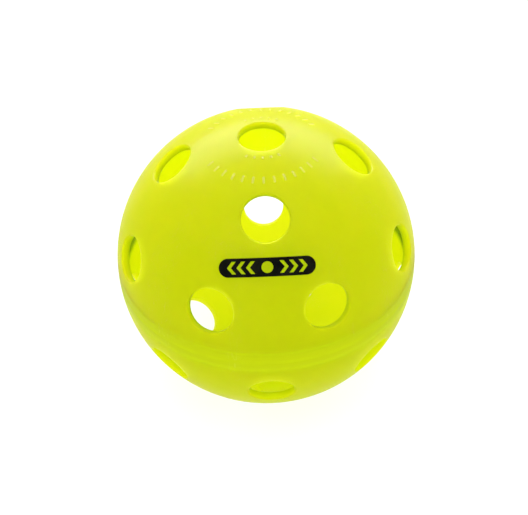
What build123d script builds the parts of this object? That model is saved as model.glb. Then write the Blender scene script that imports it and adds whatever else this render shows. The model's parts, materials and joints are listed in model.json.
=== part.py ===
"""Indoor pickleball: two identical perforated half shells, the weld that joins them, and a printed mark.

The frame is the ball's own. The origin is its centre, +Z goes through the pole hole of the upper
half, and -Y is the front, where the mark is printed. A place on the ball is given by its tilt, in
degrees from the pole, and its turn, in degrees round the pole from the front towards +X.
"""

import math
import os

from build123d import *

# Ball, in millimetres
BALL_DIAMETER = 74.0
WALL = 1.9

# Holes. All are radial and alike: one in the pole, a ring of four and a ring of eight
HOLE_DIAMETER = 10.9
HOLE_EDGE_ROUND = 0.4
RING_1_HOLES = 4
RING_1_TILT = 35.5
RING_2_HOLES = 8
RING_2_TILT = 70.5

# The lower half is the same moulding turned over, then turned half a hole pitch about the poles
HALF_TWIST = -22.5

# Weld: a band of melted and set plastic through the wall, with a round bead inside the ball
WELD_HEIGHT = 1.1
WELD_BEAD = 0.45

# Raised ticks moulded round the pole hole: two long arcs and two short ones, front and back
TICK_HEIGHT = 0.18
TICK_ROOT = 0.3
TICK_WIDTH = 0.7
OUTER_TICK_LENGTH = 1.9
OUTER_TICK_COUNT = 13
OUTER_TICK_PITCH = 10.0
INNER_TICK_LENGTH = 1.0
INNER_TICK_COUNT = 5
INNER_TICK_PITCH = 14.0
INNER_ARC_SHARE = 0.2
OUTER_ARC_SHARE = 0.71

# Printed mark: one ink film, a round-ended band with a round window and chevrons left unprinted
INK_THICKNESS = 0.05
MARK_LENGTH = 21.4
MARK_HEIGHT = 4.2
MARK_TILT = 52.4
WINDOW_DIAMETER = 2.6
CHEVRON_COUNT = 3
CHEVRON_HEIGHT = 2.8
CHEVRON_WIDTH = 0.9
CHEVRON_POINT = 1.1
CHEVRON_START = 2.7
CHEVRON_PITCH = 2.1

OUTER_RADIUS = BALL_DIAMETER / 2
INNER_RADIUS = OUTER_RADIUS - WALL
HOLE_RADIUS = HOLE_DIAMETER / 2
FRONT_AND_BACK = (0.0, 180.0)


def toward(tilt, turn):
    """Plane at the ball's centre that faces out through a place, with X eastward and Y to the pole."""
    tilt = math.radians(tilt)
    turn = math.radians(turn)
    outward = (math.sin(tilt) * math.sin(turn), -math.sin(tilt) * math.cos(turn), math.cos(tilt))
    eastward = (math.cos(turn), math.sin(turn), 0)
    return Plane(origin=(0, 0, 0), x_dir=eastward, z_dir=outward)


def hole_places():
    """Tilt and turn of each hole of one half."""
    places = [(0.0, 0.0)]
    for index in range(RING_1_HOLES):
        places.append((RING_1_TILT, index * 360 / RING_1_HOLES))
    for index in range(RING_2_HOLES):
        places.append((RING_2_TILT, (index + 0.5) * 360 / RING_2_HOLES))
    return places


def shell_between(low_radius, high_radius):
    """Whole hollow sphere, with its seam line turned away from the holes."""
    return Rot(0, 0, 45) * (Sphere(high_radius) - Sphere(low_radius))


def tick_tilt(share):
    """Tilt of an arc of ticks, at a share of the way from the pole hole's edge to the first ring's."""
    hole_half_angle = math.degrees(math.asin(HOLE_RADIUS / OUTER_RADIUS))
    return hole_half_angle + share * (RING_1_TILT - 2 * hole_half_angle)


def ticks():
    """Raised ticks of one half, rooted in its wall."""
    arcs = (
        (tick_tilt(INNER_ARC_SHARE), INNER_TICK_LENGTH, INNER_TICK_COUNT, INNER_TICK_PITCH),
        (tick_tilt(OUTER_ARC_SHARE), OUTER_TICK_LENGTH, OUTER_TICK_COUNT, OUTER_TICK_PITCH),
    )
    skin = shell_between(OUTER_RADIUS - TICK_ROOT, OUTER_RADIUS + TICK_HEIGHT)
    raised = []
    for tilt, length, count, pitch in arcs:
        for middle in FRONT_AND_BACK:
            for index in range(count):
                turn = middle + (index - (count - 1) / 2) * pitch
                post = extrude(toward(tilt, turn) * SlotOverall(length, TICK_WIDTH, 90), BALL_DIAMETER)
                raised.append(post & skin)
    return raised


def half_moulding():
    """Upper half shell, with its flat rim on the weld."""
    dome = split(
        shell_between(INNER_RADIUS, OUTER_RADIUS),
        bisect_by=Plane.XY.offset(WELD_HEIGHT / 2),
        keep=Keep.TOP,
    )
    bore = Cylinder(HOLE_RADIUS, BALL_DIAMETER, align=(Align.CENTER, Align.CENTER, Align.MIN))
    dome -= [toward(tilt, turn) * bore for tilt, turn in hole_places()]
    hole_edges = [
        edge
        for edge in dome.edges().filter_by(GeomType.CIRCLE)
        if math.isclose(edge.radius, HOLE_RADIUS, abs_tol=1e-3)
    ]
    dome = fillet(hole_edges, HOLE_EDGE_ROUND)
    dome += ticks()
    return dome


def weld_ring():
    """Ring between the two rims, flush outside and with a round bead inside."""
    top = WELD_HEIGHT / 2
    outer_edge = math.sqrt(OUTER_RADIUS**2 - top**2)
    inner_edge = math.sqrt(INNER_RADIUS**2 - top**2)
    section = make_face(
        [
            Line((inner_edge, 0, -top), (outer_edge, 0, -top)),
            ThreePointArc((outer_edge, 0, -top), (OUTER_RADIUS, 0, 0), (outer_edge, 0, top)),
            Line((outer_edge, 0, top), (inner_edge, 0, top)),
            ThreePointArc((inner_edge, 0, top), (INNER_RADIUS - WELD_BEAD, 0, 0), (inner_edge, 0, -top)),
        ]
    )
    return revolve(section, Axis.Z)


def mark_film():
    """Ink film on the front of the upper half."""
    outline = SlotOverall(MARK_LENGTH, MARK_HEIGHT) - Circle(WINDOW_DIAMETER / 2)
    half_height = CHEVRON_HEIGHT / 2
    chevron = Polygon(
        (0, half_height),
        (CHEVRON_POINT, 0),
        (0, -half_height),
        (CHEVRON_WIDTH, -half_height),
        (CHEVRON_WIDTH + CHEVRON_POINT, 0),
        (CHEVRON_WIDTH, half_height),
        align=None,
    )
    for index in range(CHEVRON_COUNT):
        right = Pos(CHEVRON_START + index * CHEVRON_PITCH, 0) * chevron
        outline -= right
        outline -= mirror(right, about=Plane.YZ)
    stamp = extrude(toward(MARK_TILT, 0) * outline, BALL_DIAMETER)
    return stamp & shell_between(OUTER_RADIUS, OUTER_RADIUS + INK_THICKNESS)


def main():
    upper = half_moulding()
    lower = Rot(0, 0, HALF_TWIST) * Rot(180, 0, 0) * upper
    nodes = {
        "upper_shell": upper,
        "lower_shell": lower,
        "seam_weld": weld_ring(),
        "printed_mark": mark_film(),
    }
    os.makedirs("parts", exist_ok=True)
    for name, solid in nodes.items():
        export_step(solid, f"parts/{name}.step")
        print(name, len(solid.solids()), "solid", round(solid.volume, 1), "mm3")


main()
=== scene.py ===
# %% [markdown]
# # A perforated indoor pickleball
#
# The ball is a hollow shell of bright yellow-green plastic with 26 round holes. It is moulded as two
# alike halves, each with a hole in the pole, a ring of four and a ring of eight. The second half is
# turned over, turned half a hole pitch about the poles, and welded to the first. A black mark is
# pad-printed on the front, and short raised ticks stand round each pole hole.
#
# Lengths are in metres. The origin is the ball's centre, +Z goes out through the upper pole hole and
# -Y is the front. A place on the ball has a tilt, its angle from the pole, and a turn, its angle
# round the pole from the front towards +X.

# %% Load the CAD frame
import json
import math

import bpy
from mathutils import Matrix, Vector


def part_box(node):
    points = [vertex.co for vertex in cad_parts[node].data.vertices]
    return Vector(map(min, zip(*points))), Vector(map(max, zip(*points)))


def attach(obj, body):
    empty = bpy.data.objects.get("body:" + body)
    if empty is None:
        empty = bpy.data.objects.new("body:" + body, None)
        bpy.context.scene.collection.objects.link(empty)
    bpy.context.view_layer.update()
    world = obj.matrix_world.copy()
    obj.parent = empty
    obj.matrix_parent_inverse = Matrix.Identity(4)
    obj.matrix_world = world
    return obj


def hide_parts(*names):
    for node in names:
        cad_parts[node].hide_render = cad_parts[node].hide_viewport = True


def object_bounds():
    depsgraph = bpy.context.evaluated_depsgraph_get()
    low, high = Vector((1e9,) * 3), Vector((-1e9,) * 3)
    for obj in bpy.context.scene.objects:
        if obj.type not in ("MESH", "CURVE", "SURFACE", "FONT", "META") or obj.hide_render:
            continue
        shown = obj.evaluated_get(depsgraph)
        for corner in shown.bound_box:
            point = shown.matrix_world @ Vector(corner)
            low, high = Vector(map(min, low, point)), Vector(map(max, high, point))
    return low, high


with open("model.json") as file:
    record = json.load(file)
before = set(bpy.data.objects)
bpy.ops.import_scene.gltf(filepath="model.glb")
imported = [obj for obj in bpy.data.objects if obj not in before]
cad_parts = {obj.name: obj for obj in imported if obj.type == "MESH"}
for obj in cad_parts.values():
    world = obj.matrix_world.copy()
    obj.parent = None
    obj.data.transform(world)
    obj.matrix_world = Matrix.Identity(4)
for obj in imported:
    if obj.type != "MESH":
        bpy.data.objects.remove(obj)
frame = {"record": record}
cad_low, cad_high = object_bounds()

print("CAD box", [round(v, 5) for v in cad_low], [round(v, 5) for v in cad_high])

# %% [markdown]
# ## Sizes
#
# The frame gives the sizes that matter: the weld ring reaches the ball's full radius, its height is
# the gap between the two rims, and the record's bore is the hole. The wall, the rounding of the hole
# edges and the tilts of the two rings are design values that a mesh doesn't state, so they are named
# here once. The ticks and the mark have sizes of their own, which stand as inputs of their trees.

# %% Read and name the sizes
MM = 0.001

_, weld_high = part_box("seam_weld")
mounts = {mount["name"]: mount for mount in frame["record"]["mounts"]}

RADIUS = weld_high[0]
WALL = 1.9 * MM
RIM_HEIGHT = weld_high[2]
HOLE_RADIUS = mounts["pole_bore"]["dims"]["r_mm"] * MM
EDGE_ROUND = 0.4 * MM
RING_1_TILT, RING_1_HOLES = math.radians(35.5), 4
RING_2_TILT, RING_2_HOLES = math.radians(70.5), 8
HALF_TWIST = math.radians(-22.5)
WELD_BEAD = 0.45 * MM

print("radius", round(RADIUS, 5), "rim height", round(RIM_HEIGHT, 5), "hole radius", HOLE_RADIUS)

# %% [markdown]
# ## A shorthand for node trees
#
# A Geometry Nodes tree is easiest to read as sums, so a socket is wrapped in a small class whose
# plus, minus and times signs add Math nodes. `Tree` holds the tree's named inputs and adds one node
# at a time: keyword arguments set or link its inputs.


# %% Wires and trees
class Wire:
    """An output socket that can be added, multiplied and so on."""

    def __init__(self, tree, socket):
        self.tree = tree
        self.socket = socket

    def math(self, operation, *others):
        return self.tree.add("ShaderNodeMath", {"operation": operation}, self, *others)

    def __add__(self, other):
        return self.math("ADD", other)

    def __sub__(self, other):
        return self.math("SUBTRACT", other)

    def __mul__(self, other):
        return self.math("MULTIPLY", other)

    def __truediv__(self, other):
        return self.math("DIVIDE", other)

    def __mod__(self, other):
        return self.math("MODULO", other)

    def __pow__(self, other):
        return self.math("POWER", other)


class Tree:
    """A node tree being built, with its named inputs ready as wires."""

    def __init__(self, name, inputs, kind="GeometryNodeTree", outputs=(("Geometry", "Geometry"),)):
        self.tree = bpy.data.node_groups.new(name, kind)
        for label, socket, default in inputs:
            made = self.tree.interface.new_socket(
                label, in_out="INPUT", socket_type="NodeSocket" + socket
            )
            if default is not None:
                made.default_value = default
        for label, socket in outputs:
            self.tree.interface.new_socket(
                label, in_out="OUTPUT", socket_type="NodeSocket" + socket
            )
        start = self.tree.nodes.new("NodeGroupInput")
        self.inputs = {label: Wire(self, start.outputs[label]) for label, _, _ in inputs}
        self.end = self.tree.nodes.new("NodeGroupOutput")

    def feed(self, socket, value):
        if isinstance(value, Wire):
            self.tree.links.new(value.socket, socket)
        else:
            socket.default_value = value

    def add(self, kind, settings, *values, out=0, **named):
        """Adds a node and returns one of its outputs. Positional values fill its inputs in order."""
        node = self.tree.nodes.new(kind)
        for label, value in settings.items():
            setattr(node, label, value)
        for index, value in enumerate(values):
            self.feed(node.inputs[index], value)
        for label, value in named.items():
            self.feed(node.inputs[label.replace("_", " ")], value)
        return Wire(self, node.outputs[out])

    def point(self, x=0.0, y=0.0, z=0.0):
        return self.add("ShaderNodeCombineXYZ", {}, x, y, z)

    def join(self, *pieces):
        """Joins geometry, and keeps it in the order given."""
        node = self.tree.nodes.new("GeometryNodeJoinGeometry")
        for piece in reversed(pieces):
            self.tree.links.new(piece.socket, node.inputs[0])
        return Wire(self, node.outputs[0])

    def boolean(self, operation, first, *others):
        """Mesh Boolean by the fast solver, which wants closed meshes and gives one back."""
        node = self.tree.nodes.new("GeometryNodeMeshBoolean")
        node.operation = operation
        node.solver = "MANIFOLD"
        base = node.inputs["Mesh 1" if operation == "DIFFERENCE" else "Mesh 2"]
        self.tree.links.new(first.socket, base)
        for other in others:
            self.tree.links.new(other.socket, node.inputs["Mesh 2"])
        return Wire(self, node.outputs[0])

    def finish(self, *wires):
        for index, wire in enumerate(wires):
            self.feed(self.end.inputs[index], wire)
        return self.tree


# %% [markdown]
# ## The lathe
#
# Most of the ball is round about some axis: the dome, the bobbin that cuts a hole and the weld. One
# group turns any of them. It takes a section, an ordered row of points with X as the distance from
# the axis and Y as the height, and lays a grid over it: each column of the grid is the section,
# turned a little further. A grid's points count up its columns first, so a point's row and column
# come from its index. Merging by distance then closes the seam and the ends on the axis.


# %% Build the lathe group
CLOSE_GAP = 0.001 * MM


def lathe_group():
    t = Tree("Lathe", [("Section", "Geometry", None), ("Turns", "Int", 96), ("Closed", "Int", 0)])
    section, turns, closed = (t.inputs[label] for label in ("Section", "Turns", "Closed"))
    points = t.add(
        "GeometryNodeAttributeDomainSize", {"component": "CURVE"}, section
    )
    rows = points + closed
    grid = t.add("GeometryNodeMeshGrid", {}, Vertices_X=turns + 1, Vertices_Y=rows)
    index = t.add("GeometryNodeInputIndex", {})
    row = (index % rows) % points
    column = (index / rows).math("FLOOR")
    here = t.add("GeometryNodeInputPosition", {})
    place = t.add(
        "GeometryNodeSampleIndex", {"data_type": "FLOAT_VECTOR"}, section, Value=here, Index=row
    )
    parts = t.add("ShaderNodeSeparateXYZ", {}, place)
    height = Wire(t, parts.socket.node.outputs[1])
    angle = column / turns * (2 * math.pi)
    turned = t.point(parts * angle.math("COSINE"), parts * angle.math("SINE"), height)
    shape = t.add("GeometryNodeSetPosition", {}, grid, Position=turned)
    return t.finish(t.add("GeometryNodeMergeByDistance", {}, shape, Distance=CLOSE_GAP))


LATHE = lathe_group()
print("lathe group:", len(LATHE.nodes), "nodes")

# %% [markdown]
# ## A perforated half shell
#
# The real half comes out of a mould whose pins leave the holes, so all holes point at the ball's
# centre and share one size, with lightly rounded edges. It could be cut by hand, hole by hole, but
# the holes follow a rule, so one tree makes them all: the lathe turns the dome and a bobbin-shaped
# cutter, the cutter is instanced on a point for each hole's direction, and one Mesh Boolean takes
# them away. The bobbin flares where the wall ends, so it leaves the rounded edges as it cuts. Each
# flare stops a few degrees before it would be tangent, because a boolean needs surfaces that cross.
# The ticks are small capsules, sunk in the wall until only their backs stand out.


# %% Directions, cutters and ticks
LEAVE = math.radians(8)
FLARE = 0.8 * MM
ARC_STEPS = 8
SHARP_FOLD = math.radians(35)


def arc(t, radius, start, sweep, steps, x=0.0, y=0.0):
    """Points of an arc in the section plane, round (x, y)."""
    made = t.add(
        "GeometryNodeCurveArc",
        {"mode": "RADIUS"},
        Resolution=steps,
        Radius=radius,
        Start_Angle=start,
        Sweep_Angle=sweep,
    )
    return t.add("GeometryNodeTransform", {}, made, Translation=t.point(x, y))


def line(t, start, end):
    return t.add("GeometryNodeCurvePrimitiveLine", {}, Start=t.point(*start), End=t.point(*end))


def lathe(t, section, turns, closed):
    return t.add("GeometryNodeGroup", {"node_tree": LATHE}, section, turns, closed)


def ring_directions(t, count, tilt, offset):
    """Unit vectors at one tilt, evenly round the pole."""
    circle = t.add("GeometryNodeMeshCircle", {}, Vertices=count, Radius=tilt.math("SINE"))
    return t.add(
        "GeometryNodeTransform",
        {},
        circle,
        Translation=t.point(0.0, 0.0, tilt.math("COSINE")),
        Rotation=t.point(0.0, 0.0, offset),
    )


def dome(t, radius, inner, rim, hole, turns, rows):
    """Thick dome on the rim plane, left open inside what the pole hole will take away."""
    top = (hole / radius).math("ARCSINE") * 0.5
    outer_start = (rim / radius).math("ARCSINE")
    inner_start = (rim / inner).math("ARCSINE")
    end = (top - math.pi / 2) * -1.0
    outer = arc(t, radius, outer_start, end - outer_start, rows)
    inside = arc(t, inner, end, inner_start - end, rows)
    return lathe(t, t.join(outer, inside), turns, 1)


def bobbin(t, radius, inner, hole, edge, turns):
    """Cutter for one hole, along Z from inside the ball to outside it."""
    ring = hole + edge
    outer_y = ((radius - edge) ** 2.0 - ring**2.0).math("SQRT")
    inner_y = ((inner + edge) ** 2.0 - ring**2.0).math("SQRT")
    outer_angle = outer_y.math("ARCTAN2", ring) + LEAVE
    inner_angle = inner_y.math("ARCTAN2", ring) + (math.pi - LEAVE)
    outer_round = arc(t, edge, outer_angle, (outer_angle - math.pi) * -1.0, ARC_STEPS, ring, outer_y)
    inner_round = arc(t, edge, math.pi, inner_angle - math.pi, ARC_STEPS, ring, inner_y)
    cos_out, sin_out = outer_angle.math("COSINE"), outer_angle.math("SINE")
    cos_in, sin_in = inner_angle.math("COSINE"), inner_angle.math("SINE")
    far_out = (ring + edge * cos_out + sin_out * FLARE, outer_y + edge * sin_out - cos_out * FLARE)
    far_in = (ring + edge * cos_in - sin_in * FLARE, inner_y + edge * sin_in + cos_in * FLARE)
    above = line(t, (0.0, far_out[1] + FLARE), far_out)
    below = line(t, far_in, (0.0, far_in[1] - FLARE))
    turned = lathe(t, t.join(above, outer_round, inner_round, below), turns, 0)
    return t.add("GeometryNodeFlipFaces", {}, turned)


def facing_out(t, direction):
    """Rotation that sends Z out along a direction and Y towards the pole."""
    out = t.add("FunctionNodeAlignRotationToVector", {"axis": "Z"}, Vector=direction)
    return t.add(
        "FunctionNodeAlignRotationToVector",
        {"axis": "Y", "pivot_axis": "Z"},
        Rotation=out,
        Vector=(0.0, 0.0, 1.0),
    )


def on_directions(t, directions, shape):
    """One copy of a shape, modelled along Z from the ball's centre, for each direction."""
    here = t.add("GeometryNodeInputPosition", {})
    copies = t.add(
        "GeometryNodeInstanceOnPoints", {}, directions, Instance=shape, Rotation=facing_out(t, here)
    )
    back = t.add("ShaderNodeVectorMath", {"operation": "SCALE"}, here, Scale=-1.0)
    centred = t.add(
        "GeometryNodeTranslateInstances", {}, copies, Translation=back, Local_Space=False
    )
    return t.add("GeometryNodeRealizeInstances", {}, centred)


def tick_directions(t, count, tilt, pitch):
    """Unit vectors along an arc about the front, and along its twin at the back."""
    row = t.add("GeometryNodeMeshLine", {}, Count=count)
    index = t.add("GeometryNodeInputIndex", {})
    turn = (index - (count - 1) * 0.5) * pitch
    flat = tilt.math("SINE")
    place = t.point(flat * turn.math("SINE"), flat * turn.math("COSINE") * -1.0, tilt.math("COSINE"))
    front = t.add("GeometryNodeSetPosition", {}, row, Position=place)
    back = t.add("GeometryNodeTransform", {}, front, Rotation=(0.0, 0.0, math.pi))
    return t.join(front, back)


def position_parts(t):
    """X, Y and Z of each point."""
    parts = t.add("ShaderNodeSeparateXYZ", {}, t.add("GeometryNodeInputPosition", {}))
    return [Wire(t, parts.socket.node.outputs[axis]) for axis in range(3)]


def tick(t, radius, length, width, height):
    """Capsule that shows a back of that length, width and height above the dome."""
    ball_radius = (width * width * 0.25 + height * height) / (height * 2.0)
    ball = t.add("GeometryNodeMeshUVSphere", {}, Segments=20, Rings=12, Radius=ball_radius)
    x, y, z = position_parts(t)
    stretched = y + y.math("SIGN") * ((length - width) * 0.5)
    place = t.point(x, stretched, z + radius + height - ball_radius)
    return t.add("GeometryNodeSetPosition", {}, ball, Position=place)


def sharp_where(t, mesh, angle):
    """Smooth shading, but for edges that fold by more than an angle."""
    smooth = t.add("GeometryNodeSetShadeSmooth", {"domain": "FACE"}, mesh)
    folded = t.add("GeometryNodeInputMeshEdgeAngle", {}).math("GREATER_THAN", angle)
    return t.add(
        "GeometryNodeSetShadeSmooth", {"domain": "EDGE"}, smooth, Selection=folded, Shade_Smooth=False
    )


# %% Build the half shell's tree
SHELL_INPUTS = (
    ("Outer Radius", "Float", RADIUS),
    ("Wall", "Float", WALL),
    ("Rim Height", "Float", RIM_HEIGHT),
    ("Hole Radius", "Float", HOLE_RADIUS),
    ("Edge Round", "Float", EDGE_ROUND),
    ("Ring 1 Tilt", "Float", RING_1_TILT),
    ("Ring 1 Holes", "Int", RING_1_HOLES),
    ("Ring 2 Tilt", "Float", RING_2_TILT),
    ("Ring 2 Holes", "Int", RING_2_HOLES),
    ("Dome Turns", "Int", 288),
    ("Dome Rows", "Int", 72),
    ("Hole Turns", "Int", 96),
    ("Tick Height", "Float", 0.18 * MM),
    ("Tick Width", "Float", 0.7 * MM),
    ("Outer Tick Length", "Float", 1.9 * MM),
    ("Outer Ticks", "Int", 13),
    ("Outer Pitch", "Float", math.radians(10)),
    ("Outer Share", "Float", 0.71),
    ("Inner Tick Length", "Float", 1.0 * MM),
    ("Inner Ticks", "Int", 5),
    ("Inner Pitch", "Float", math.radians(14)),
    ("Inner Share", "Float", 0.2),
    ("Material", "Material", None),
)


def shell_tree():
    t = Tree("Perforated half shell", SHELL_INPUTS)
    size = t.inputs
    radius, hole, tilt_1 = size["Outer Radius"], size["Hole Radius"], size["Ring 1 Tilt"]
    inner = radius - size["Wall"]
    body = dome(t, radius, inner, size["Rim Height"], hole, size["Dome Turns"], size["Dome Rows"])

    pole = t.add("GeometryNodeMeshLine", {}, 1, Start_Location=(0.0, 0.0, 1.0))
    half_pitch = (size["Ring 2 Holes"] ** -1.0) * math.pi
    directions = t.join(
        pole,
        ring_directions(t, size["Ring 1 Holes"], tilt_1, 0.0),
        ring_directions(t, size["Ring 2 Holes"], size["Ring 2 Tilt"], half_pitch),
    )
    cutter = bobbin(t, radius, inner, hole, size["Edge Round"], size["Hole Turns"])
    cut = t.boolean("DIFFERENCE", body, on_directions(t, directions, cutter))

    half_angle = (hole / radius).math("ARCSINE")
    gap = tilt_1 - half_angle * 2.0
    raised = []
    for arc_name in ("Outer", "Inner"):
        tilt = half_angle + gap * size[arc_name + " Share"]
        places = tick_directions(t, size[arc_name + " Ticks"], tilt, size[arc_name + " Pitch"])
        length = size[arc_name + " Tick Length"]
        shape = tick(t, radius, length, size["Tick Width"], size["Tick Height"])
        raised.append(on_directions(t, places, shape))
    whole = t.boolean("UNION", cut, *raised)
    shaded = sharp_where(t, whole, SHARP_FOLD)
    return t.finish(t.add("GeometryNodeSetMaterial", {}, shaded, Material=size["Material"]))


SHELL_TREE = shell_tree()
print("half shell tree:", len(SHELL_TREE.nodes), "nodes")

# %% [markdown]
# ## The weld
#
# Two rims are pressed on a hot plate and then on each other, and the melted plastic between them sets
# as a ring. Outside it is trimmed nearly flush, so what shows is a narrow soft band between two fine
# grooves. Inside nobody can trim it, and it stays as a round bead. Both are one section for the
# lathe: an arc for the outer face, which bulges a little between the grooves, and an arc for the bead.


# %% Build the weld's tree
WELD_INPUTS = (
    ("Outer Radius", "Float", RADIUS),
    ("Wall", "Float", WALL),
    ("Rim Height", "Float", RIM_HEIGHT),
    ("Bead", "Float", WELD_BEAD),
    ("Groove", "Float", 0.02 * MM),
    ("Turns", "Int", 288),
    ("Material", "Material", None),
)


def bulge(t, x, half_height, depth, outward):
    """Shallow arc of a section, up or down a gap, that bulges from x by a depth."""
    radius = (half_height * half_height + depth * depth) / (depth * 2.0)
    half_sweep = (half_height / radius).math("ARCSINE")
    if outward:
        return arc(t, radius, half_sweep * -1.0, half_sweep * 2.0, ARC_STEPS, x + depth - radius)
    start = (half_sweep - math.pi) * -1.0
    return arc(t, radius, start, half_sweep * 2.0, 2 * ARC_STEPS, x - depth + radius)


def weld_tree():
    t = Tree("Weld ring", WELD_INPUTS)
    size = t.inputs
    rim, groove = size["Rim Height"], size["Groove"]
    outer = bulge(t, size["Outer Radius"] - groove, rim, groove, True)
    inner_edge = ((size["Outer Radius"] - size["Wall"]) ** 2.0 - rim**2.0).math("SQRT")
    bead = bulge(t, inner_edge, rim, size["Bead"], False)
    ring = sharp_where(t, lathe(t, t.join(outer, bead), size["Turns"], 1), SHARP_FOLD)
    return t.finish(t.add("GeometryNodeSetMaterial", {}, ring, Material=size["Material"]))


WELD_TREE = weld_tree()
print("weld tree:", len(WELD_TREE.nodes), "nodes")

# %% [markdown]
# ## The printed mark
#
# A silicone pad carries the ink from a flat plate to the ball, so the mark is a thin film that
# follows the sphere but keeps the plate's flat outline. The tree does what the pad does: it stamps
# the outline along one direction through a thin skin that lies on the sphere, and keeps what the two
# share. The outline is a round-ended band, from which a round window and two rows of chevrons are
# left out. A chevron is a bar whose middle is pushed outward. The skin starts a little inside the
# wall, so no light slips under the ink.


# %% Build the mark's tree
MARK_INPUTS = (
    ("Outer Radius", "Float", RADIUS),
    ("Ink", "Float", 0.05 * MM),
    ("Length", "Float", 21.4 * MM),
    ("Height", "Float", 4.2 * MM),
    ("Tilt", "Float", math.radians(52.4)),
    ("Window", "Float", 2.6 * MM),
    ("Chevrons", "Int", 3),
    ("Chevron Height", "Float", 2.8 * MM),
    ("Chevron Width", "Float", 0.9 * MM),
    ("Chevron Point", "Float", 1.1 * MM),
    ("Chevron Start", "Float", 2.7 * MM),
    ("Chevron Pitch", "Float", 2.1 * MM),
    ("Material", "Material", None),
)
INK_SINK = 0.02 * MM
SKIN_TURNS, SKIN_ROWS = 192, 48
SKIN_SHARE = 0.6


def skin_cap(t, low, high, half_angle, turns, rows):
    """Thin round cap of skin about Z, between two radii."""
    start = (half_angle - math.pi / 2) * -1.0
    outer = arc(t, high, start, half_angle, rows)
    inner = arc(t, low, math.pi / 2, half_angle * -1.0, rows)
    return lathe(t, t.join(inner, outer), turns, 0)


def band_block(t, length, height, depth):
    """Tall block with a round-ended outline: a cylinder with its two halves drawn apart."""
    round_block = t.add("GeometryNodeMeshCylinder", {}, Vertices=96, Radius=height * 0.5, Depth=depth)
    x, y, z = position_parts(t)
    place = t.point(x + x.math("SIGN") * ((length - height) * 0.5), y, z + depth * 0.5)
    return t.add("GeometryNodeSetPosition", {}, round_block, Position=place)


def chevron_blocks(t, size, depth):
    """Both rows of chevrons, tips outward, as tall blocks."""
    bar_size = t.point(size["Chevron Width"], size["Chevron Height"], depth)
    bar = t.add("GeometryNodeMeshCube", {}, Size=bar_size, Vertices_Y=3)
    x, y, z = position_parts(t)
    push = (y.math("ABSOLUTE") / size["Chevron Height"] * -2.0 + 1.0) * size["Chevron Point"]
    place = t.point(x + push + size["Chevron Width"] * 0.5, y, z + depth * 0.5)
    chevron = t.add("GeometryNodeSetPosition", {}, bar, Position=place)
    row = t.add(
        "GeometryNodeMeshLine",
        {},
        Count=size["Chevrons"],
        Start_Location=t.point(size["Chevron Start"]),
        Offset=t.point(size["Chevron Pitch"]),
    )
    copies = t.add("GeometryNodeInstanceOnPoints", {}, row, Instance=chevron)
    right = t.add("GeometryNodeRealizeInstances", {}, copies)
    left = t.add("GeometryNodeTransform", {}, right, Rotation=(0.0, 0.0, math.pi))
    return t.join(right, left)


def mark_tree():
    t = Tree("Printed mark", MARK_INPUTS)
    size = t.inputs
    radius = size["Outer Radius"]
    depth = radius * 1.5
    half_angle = (size["Length"] * SKIN_SHARE / radius).math("ARCSINE")
    top = radius + size["Ink"]
    skin = skin_cap(t, radius - INK_SINK, top, half_angle, SKIN_TURNS, SKIN_ROWS)
    band = band_block(t, size["Length"], size["Height"], depth)
    hub = size["Window"] * 0.5
    window = t.add("GeometryNodeMeshCylinder", {}, Vertices=64, Radius=hub, Depth=depth)
    lifted = t.add("GeometryNodeTransform", {}, window, Translation=t.point(0.0, 0.0, depth * 0.5))
    outline = t.boolean("DIFFERENCE", band, lifted, chevron_blocks(t, size, depth))
    film = t.boolean("INTERSECT", skin, outline)
    tipped = t.add("GeometryNodeTransform", {}, film, Rotation=t.point(size["Tilt"]))
    shaded = sharp_where(t, tipped, SHARP_FOLD)
    return t.finish(t.add("GeometryNodeSetMaterial", {}, shaded, Material=size["Material"]))


MARK_TREE = mark_tree()
print("mark tree:", len(MARK_TREE.nodes), "nodes")

# %% [markdown]
# ## From tree to mesh
#
# A tree makes its mesh when Blender evaluates the object that carries it. Inputs are set through
# each socket's identifier, since its label is only what a person reads. The evaluated result is
# copied to a plain mesh and the modifier goes away with the object that carried it, so what is left
# is an ordinary piece at the origin.


# %% Grow a mesh and place a piece
def grow(tree, name, **values):
    """Plain mesh of a tree's result, with any of its inputs changed."""
    carrier = bpy.data.objects.new(name + "_carrier", bpy.data.meshes.new(name + "_seed"))
    bpy.context.scene.collection.objects.link(carrier)
    modifier = carrier.modifiers.new("Tree", "NODES")
    modifier.node_group = tree
    wanted = {label.replace("_", " "): value for label, value in values.items()}
    for socket in tree.interface.items_tree:
        if socket.in_out == "INPUT" and socket.name in wanted:
            modifier[socket.identifier] = wanted[socket.name]
    ready = carrier.evaluated_get(bpy.context.evaluated_depsgraph_get())
    mesh = bpy.data.meshes.new_from_object(ready)
    mesh.name = name
    bpy.data.objects.remove(carrier)
    return mesh


def piece(mesh, node, slot):
    """Object for a mesh, standing for a CAD node and riding on the ball's one body."""
    made = bpy.data.objects.new(mesh.name, mesh)
    bpy.context.scene.collection.objects.link(made)
    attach(made, "root")
    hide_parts(node)
    corners = [vertex.co for vertex in mesh.vertices]
    spans = [max(c[axis] for c in corners) - min(c[axis] for c in corners) for axis in range(3)]
    print(mesh.name, len(mesh.polygons), "faces,", [round(span / MM, 2) for span in spans], "mm")
    return made


# %% [markdown]
# ## What a used moulding looks like
#
# Three small effects tell moulded plastic from a flat colour. The mould's own surface leaves a fine
# grain. The wall is never quite even in thickness, so its colour drifts softly. Play leaves hair-thin
# scuffs, which catch the light only where they run. The plastics and the ink share them, so each is
# a node group with its place and size as named inputs. The place is the Object coordinate.


# %% Build the shared effects
BROAD_GRAIN, FINE_SHARE = 9.0, 0.35
HAIR_SPACING, PATCH_SPACING = 6.0, 60.0
HAIR_EDGE = 0.012
PATCH_START, PATCH_FULL = 0.54, 0.66


def noise(t, place, scale, detail):
    return t.add("ShaderNodeTexNoise", {}, Vector=place, Scale=scale, Detail=detail)


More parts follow.
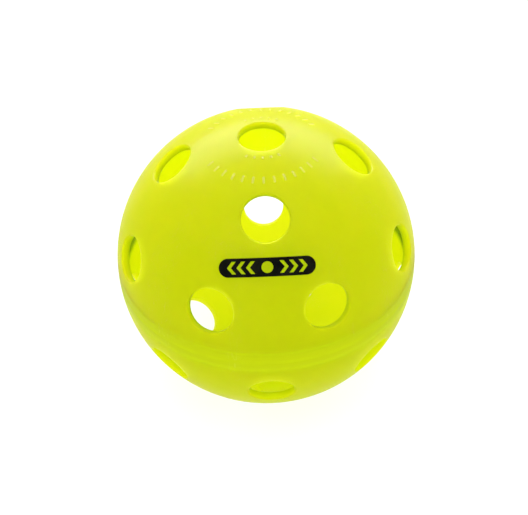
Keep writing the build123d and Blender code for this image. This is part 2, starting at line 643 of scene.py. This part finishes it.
def shade_tree(name, inputs, output):
    return Tree(name, inputs, "ShaderNodeTree", ((output, "Float"),))


def between(t, value, low, high, to_low=0.0, to_high=1.0):
    """Smooth step of a value from one range to another."""
    settings = {"interpolation_type": "SMOOTHSTEP"}
    return t.add("ShaderNodeMapRange", settings, value, low, high, to_low, to_high)


def grain_group():
    inputs = (("Place", "Vector", None), ("Grain Size", "Float", 0.5 * MM))
    t = shade_tree("Mould grain", inputs, "Height")
    place, grain_size = t.inputs["Place"], t.inputs["Grain Size"]
    fine = noise(t, place, grain_size**-1.0, 2.0)
    broad = noise(t, place, (grain_size * BROAD_GRAIN) ** -1.0, 1.0)
    return t.finish(fine * FINE_SHARE + broad)


def drift_group():
    inputs = (("Place", "Vector", None), ("Patch Size", "Float", 14 * MM))
    t = shade_tree("Wall drift", inputs, "Shade")
    cloud = noise(t, t.inputs["Place"], t.inputs["Patch Size"] ** -1.0, 3.0)
    return t.finish(between(t, cloud, 0.3, 0.7))


def scuff_group():
    """Hair lines in two crossing directions, each broken up so that it starts and stops."""
    inputs = (("Place", "Vector", None), ("Hair Width", "Float", 0.16 * MM))
    t = shade_tree("Scuffs", inputs, "Scuff")
    place, hair = t.inputs["Place"], t.inputs["Hair Width"]
    marks = []
    for turn, stretch in (((0.3, 0.5, 0.9), 34.0), ((1.2, -0.6, 2.2), 26.0)):
        turned = t.add("ShaderNodeMapping", {}, place, Rotation=turn, Scale=(1.0, 1.0, 1.0 / stretch))
        hairs = noise(t, turned, (hair * HAIR_SPACING) ** -1.0, 1.0)
        line_mask = between(t, (hairs - 0.5).math("ABSOLUTE"), 0.0, HAIR_EDGE, 1.0, 0.0)
        patches = noise(t, turned, (hair * PATCH_SPACING) ** -1.0, 2.0)
        marks.append(line_mask * between(t, patches, PATCH_START, PATCH_FULL))
    return t.finish(marks[0].math("MAXIMUM", marks[1]))


GRAIN, DRIFT, SCUFFS = grain_group(), drift_group(), scuff_group()
print("effects:", [group.name for group in (GRAIN, DRIFT, SCUFFS)])

# %% [markdown]
# ## The three finishes
#
# The shell is a satin yellow-green plastic that light soaks into. It enters through the lit skin,
# scatters in the wall and leaves inside, which is why the inside, seen through a hole, is brighter
# than the skin round the hole. A brighter colour painted inside would be quicker, but subsurface
# scattering follows the real wall and the real lights. Its reach is many times the wall, since the
# plastic is nearly clear. The refractive index is set low, because a real one lays a grey veil of
# reflected surroundings over the sides, and these stay saturated on such a ball.
#
# Near the rims and in the weld the plastic has been melted, which leaves it denser. There the
# scattering fades out and a plain colour of the same look takes over. Without the fade, light that
# walks along the wall would be lost at the flat rims, and the fused joint would show a dark line.
#
# A number that is the same all over a surface is set on the shader itself. Only what changes over the
# surface comes in through links.


# %% Start a material
class Finish(Tree):
    """Material with a Principled shader, whose nodes are added as in any tree."""

    def __init__(self, name, **constants):
        self.material = bpy.data.materials.new(name)
        self.material.use_nodes = True
        self.tree = self.material.node_tree
        self.shader = self.tree.nodes["Principled BSDF"]
        for label, value in constants.items():
            self.shader.inputs[label.replace("_", " ")].default_value = value
        self.place = self.add("ShaderNodeTexCoord", {}, out=3)

    def effect(self, group, size):
        return self.add("ShaderNodeGroup", {"node_tree": group}, self.place, size)

    def mixed(self, share, first, second):
        """Colour between two others."""
        node = self.tree.nodes.new("ShaderNodeMix")
        node.data_type = "RGBA"
        inputs = [socket for socket in node.inputs if socket.type in ("RGBA", "VALUE")]
        share_socket = next(socket for socket in inputs if socket.name == "Factor")
        colours = [socket for socket in inputs if socket.type == "RGBA"]
        self.feed(share_socket, share)
        for socket, colour in zip(colours, (first, second)):
            self.feed(socket, colour)
        return Wire(self, next(socket for socket in node.outputs if socket.type == "RGBA"))

    def bump(self, height, distance):
        """Normal that a height gives, with the depth of a height of one."""
        return self.add("ShaderNodeBump", {}, Strength=1.0, Distance=distance, Height=height)

    def link(self, **wires):
        for label, wire in wires.items():
            self.feed(self.shader.inputs[label.replace("_", " ")], wire)
        return self.material


# %% Shell and weld plastic
PLASTIC_YELLOW = (0.74, 0.95, 0.003, 1.0)
PLASTIC_GREEN = (0.675, 0.94, 0.002, 1.0)
MELTED = (0.54, 0.65, 0.003, 1.0)
# Lighter colour for the scuffs, and also for the painted highlight on the tops of the raised ticks.
SCUFF_AND_TICK_HIGHLIGHT = (0.84, 0.95, 0.12, 1.0)
LIGHT_REACH = 50 * MM
SOFT_INDEX = 1.06
MELTED_LOW, MELTED_HIGH = 1.2 * MM, 3.9 * MM
# Heights above the wall over which the painted highlight on the ticks fades in.
RAISED_LOW, RAISED_HIGH = 0.03 * MM, 0.12 * MM


def shell_plastic():
    """Light-soaked yellow-green plastic, denser where the rims were melted, with a painted highlight
    on the raised ticks.
    """
    f = Finish(
        "Ball_plastic",
        Subsurface_Radius=(0.72, 1.0, 0.18),
        Subsurface_Scale=LIGHT_REACH,
        Specular_IOR_Level=1.0,
        IOR=SOFT_INDEX,
    )
    drift = f.effect(DRIFT, 14 * MM)
    scuff = f.effect(SCUFFS, 0.16 * MM)
    grain = f.effect(GRAIN, 0.5 * MM)
    height = Wire(f, f.add("ShaderNodeSeparateXYZ", {}, f.place).socket.node.outputs[2])
    clear = between(f, height.math("ABSOLUTE"), MELTED_LOW, MELTED_HIGH)
    body = f.mixed(clear, MELTED, f.mixed(drift, PLASTIC_YELLOW, PLASTIC_GREEN))
    reach = f.add("ShaderNodeVectorMath", {"operation": "LENGTH"}, f.place, out=1)
    # Painted highlight: the tops of the raised ticks are lightened toward the scuff colour, as if they
    # caught the light.
    raised = between(f, reach, RADIUS + RAISED_LOW, RADIUS + RAISED_HIGH)
    return f.link(
        Base_Color=f.mixed((scuff * 0.3).math("MAXIMUM", raised * 0.5), body, SCUFF_AND_TICK_HIGHLIGHT),
        Roughness=drift * 0.06 + 0.3 + scuff * 0.2,
        Normal=f.bump(grain - scuff * 0.3, 0.03 * MM),
        Subsurface_Weight=clear,
    )


def weld_plastic():
    """The same plastic, cooled fast in a thin ring: it lets no light through."""
    f = Finish("Weld_plastic", Specular_IOR_Level=1.0, IOR=SOFT_INDEX)
    drift = f.effect(DRIFT, 5 * MM)
    grain = f.effect(GRAIN, 0.35 * MM)
    return f.link(
        Base_Color=f.mixed(drift * 0.1, MELTED, PLASTIC_YELLOW),
        Roughness=drift * 0.1 + 0.4,
        Normal=f.bump(grain, 0.04 * MM),
    )


SHELL_PLASTIC = shell_plastic()
WELD_PLASTIC = weld_plastic()
print("plastics:", SHELL_PLASTIC.name, WELD_PLASTIC.name)


# %% Ink
BLACK = (0.002, 0.002, 0.002, 1.0)
RUBBED = (0.05, 0.055, 0.03, 1.0)


def ink():
    """Black ink that has dried satin, a little thin and grey where it was rubbed."""
    f = Finish("Mark_ink", Specular_IOR_Level=0.6, IOR=SOFT_INDEX)
    drift = f.effect(DRIFT, 3 * MM)
    scuff = f.effect(SCUFFS, 0.12 * MM)
    grain = f.effect(GRAIN, 0.25 * MM)
    return f.link(
        Base_Color=f.mixed(scuff * 0.5 + drift * 0.1, BLACK, RUBBED),
        Roughness=drift * 0.1 + 0.4 + scuff * 0.2,
        Normal=f.bump(grain, 0.012 * MM),
    )


INK = ink()
print("ink:", INK.name)

# %% [markdown]
# ## The pieces
#
# Both halves come from one mould, so the tree grows one mesh and the lower half is a turned copy:
# over the X axis, then half a hole pitch about the poles. That turn also brings a hole of each ring
# of the lower half between two of the upper half's.

# %% Make the four pieces
upper_mesh = grow(SHELL_TREE, "Upper_half", Material=SHELL_PLASTIC)
lower_mesh = upper_mesh.copy()
lower_mesh.name = "Lower_half"
lower_mesh.transform(Matrix.Rotation(HALF_TWIST, 4, "Z") @ Matrix.Rotation(math.pi, 4, "X"))

piece(upper_mesh, "upper_shell", "shell_plastic")
piece(lower_mesh, "lower_shell", "shell_plastic")
piece(grow(WELD_TREE, "Weld_ring", Material=WELD_PLASTIC), "seam_weld", "weld_plastic")
piece(grow(MARK_TREE, "Printed_mark", Material=INK), "printed_mark", "mark_ink")

# %% [markdown]
# ## The studio
#
# The ball stands on the rim of its lower pole hole, on a pale table in even white light, as inside a
# light tent. A softbox overhead and a weak one behind give it form, and pour light in through the
# upper holes and the wall. A card behind it shows only in gloss: it lays the broad pale sheen round
# the pole hole without washing out the colour. The table glows a little, as a lit sweep does, so
# that the lower half is as bright as the upper and no dark shadow lies under the ball.


# %% Floor and lights
TABLE_REACH = 3.0
TABLE_TOOTH = 400.0
TABLE_DARK, TABLE_LIGHT = (0.29, 0.29, 0.29, 1.0), (0.31, 0.31, 0.31, 1.0)
TABLE_GLOW_THROWN, TABLE_GLOW_SEEN = 0.57, 0.8
WHITE = (1.0, 1.0, 1.0, 1.0)
SKY_STRENGTH = 0.98
LIGHT_DISTANCE = 0.45
BEHIND = 180


def floor(height, reach):
    """Square pale table, which glows more to the eye than on the ball."""
    mesh = bpy.data.meshes.new("Floor")
    corners = [(x * reach, y * reach, height) for x, y in ((-1, -1), (1, -1), (1, 1), (-1, 1))]
    mesh.from_pydata(corners, [], [(0, 1, 2, 3)])
    made = bpy.data.objects.new("Floor", mesh)
    bpy.context.scene.collection.objects.link(made)
    f = Finish("Floor_table", Specular_IOR_Level=0.0, Roughness=1.0, Emission_Color=WHITE)
    seen = f.add("ShaderNodeLightPath", {})
    glow = f.add("ShaderNodeMapRange", {}, seen, 0.0, 1.0, TABLE_GLOW_THROWN, TABLE_GLOW_SEEN)
    f.link(Emission_Strength=glow)
    tooth = f.add("ShaderNodeTexNoise", {}, Vector=f.place, Scale=TABLE_TOOTH)
    mesh.materials.append(f.link(Base_Color=f.mixed(tooth, TABLE_DARK, TABLE_LIGHT)))


def direction(azimuth, elevation):
    """Unit vector from the ball, turned from the front towards +X and raised from the floor."""
    flat = math.cos(elevation)
    return Vector((math.sin(azimuth) * flat, -math.cos(azimuth) * flat, math.sin(elevation)))


def softbox(name, azimuth, elevation, width, height, watts, card=False):
    """Rectangular area light that looks at the ball's centre. A card shows only in gloss."""
    light = bpy.data.lights.new(name, "AREA")
    light.shape, light.size, light.size_y, light.energy = "RECTANGLE", width, height, watts
    made = bpy.data.objects.new(name, light)
    out = direction(math.radians(azimuth), math.radians(elevation))
    facing = out.to_track_quat("Z", "Y").to_matrix().to_4x4()
    made.matrix_world = Matrix.Translation(out * LIGHT_DISTANCE) @ facing
    made.visible_camera = False
    made.visible_diffuse = not card
    bpy.context.scene.collection.objects.link(made)


def sky(strength):
    """Even white light from all round, which is also what shows above the table's edge."""
    world = bpy.data.worlds.new("Studio")
    world.use_nodes = True
    background = world.node_tree.nodes["Background"]
    background.inputs["Color"].default_value = WHITE
    background.inputs["Strength"].default_value = strength
    bpy.context.scene.world = world


floor(cad_low[2], TABLE_REACH)
sky(SKY_STRENGTH)
softbox("Top_softbox", azimuth=0, elevation=80, width=0.4, height=0.4, watts=1.2)
softbox("Back_softbox", azimuth=BEHIND, elevation=48, width=0.36, height=0.22, watts=0.35)
softbox("Glow_card", azimuth=BEHIND, elevation=40, width=0.85, height=0.3, watts=18.0, card=True)
print("floor at", round(cad_low[2], 5))

# %% [markdown]
# ## The camera
#
# The camera looks down at the ball from the front, near enough for a slight perspective. Its distance
# is given in ball radii, so the view keeps its shape if the ball changes size. A small roll leans the
# poles to the left, and a small shift sets the ball off the middle of the view.

# %% Camera
CAMERA_DISTANCE = 7.823 * RADIUS
LENS, SENSOR = 78.66, 36.0
SHIFT_X, SHIFT_Y = -0.0040, -0.0055
NEAREST, FARTHEST = 0.01, 20.0
azimuth, elevation, roll = math.radians(-0.34), math.radians(41.86), math.radians(-2.12)

camera_data = bpy.data.cameras.new("Camera")
camera_data.lens, camera_data.sensor_width = LENS, SENSOR
camera_data.shift_x, camera_data.shift_y = SHIFT_X, SHIFT_Y
camera_data.clip_start, camera_data.clip_end = NEAREST, FARTHEST
camera = bpy.data.objects.new("Camera", camera_data)
aim = Matrix.Rotation(azimuth, 4, "Z") @ Matrix.Rotation(math.pi / 2 - elevation, 4, "X")
place = Matrix.Translation(direction(azimuth, elevation) * CAMERA_DISTANCE)
camera.matrix_world = place @ aim @ Matrix.Rotation(roll, 4, "Z")
bpy.context.scene.collection.objects.link(camera)
bpy.context.scene.camera = camera
bpy.context.scene.view_settings.view_transform = "Standard"
print("camera", [round(v, 4) for v in camera.matrix_world.translation])

# %% Update the view layer
bpy.context.view_layer.update()
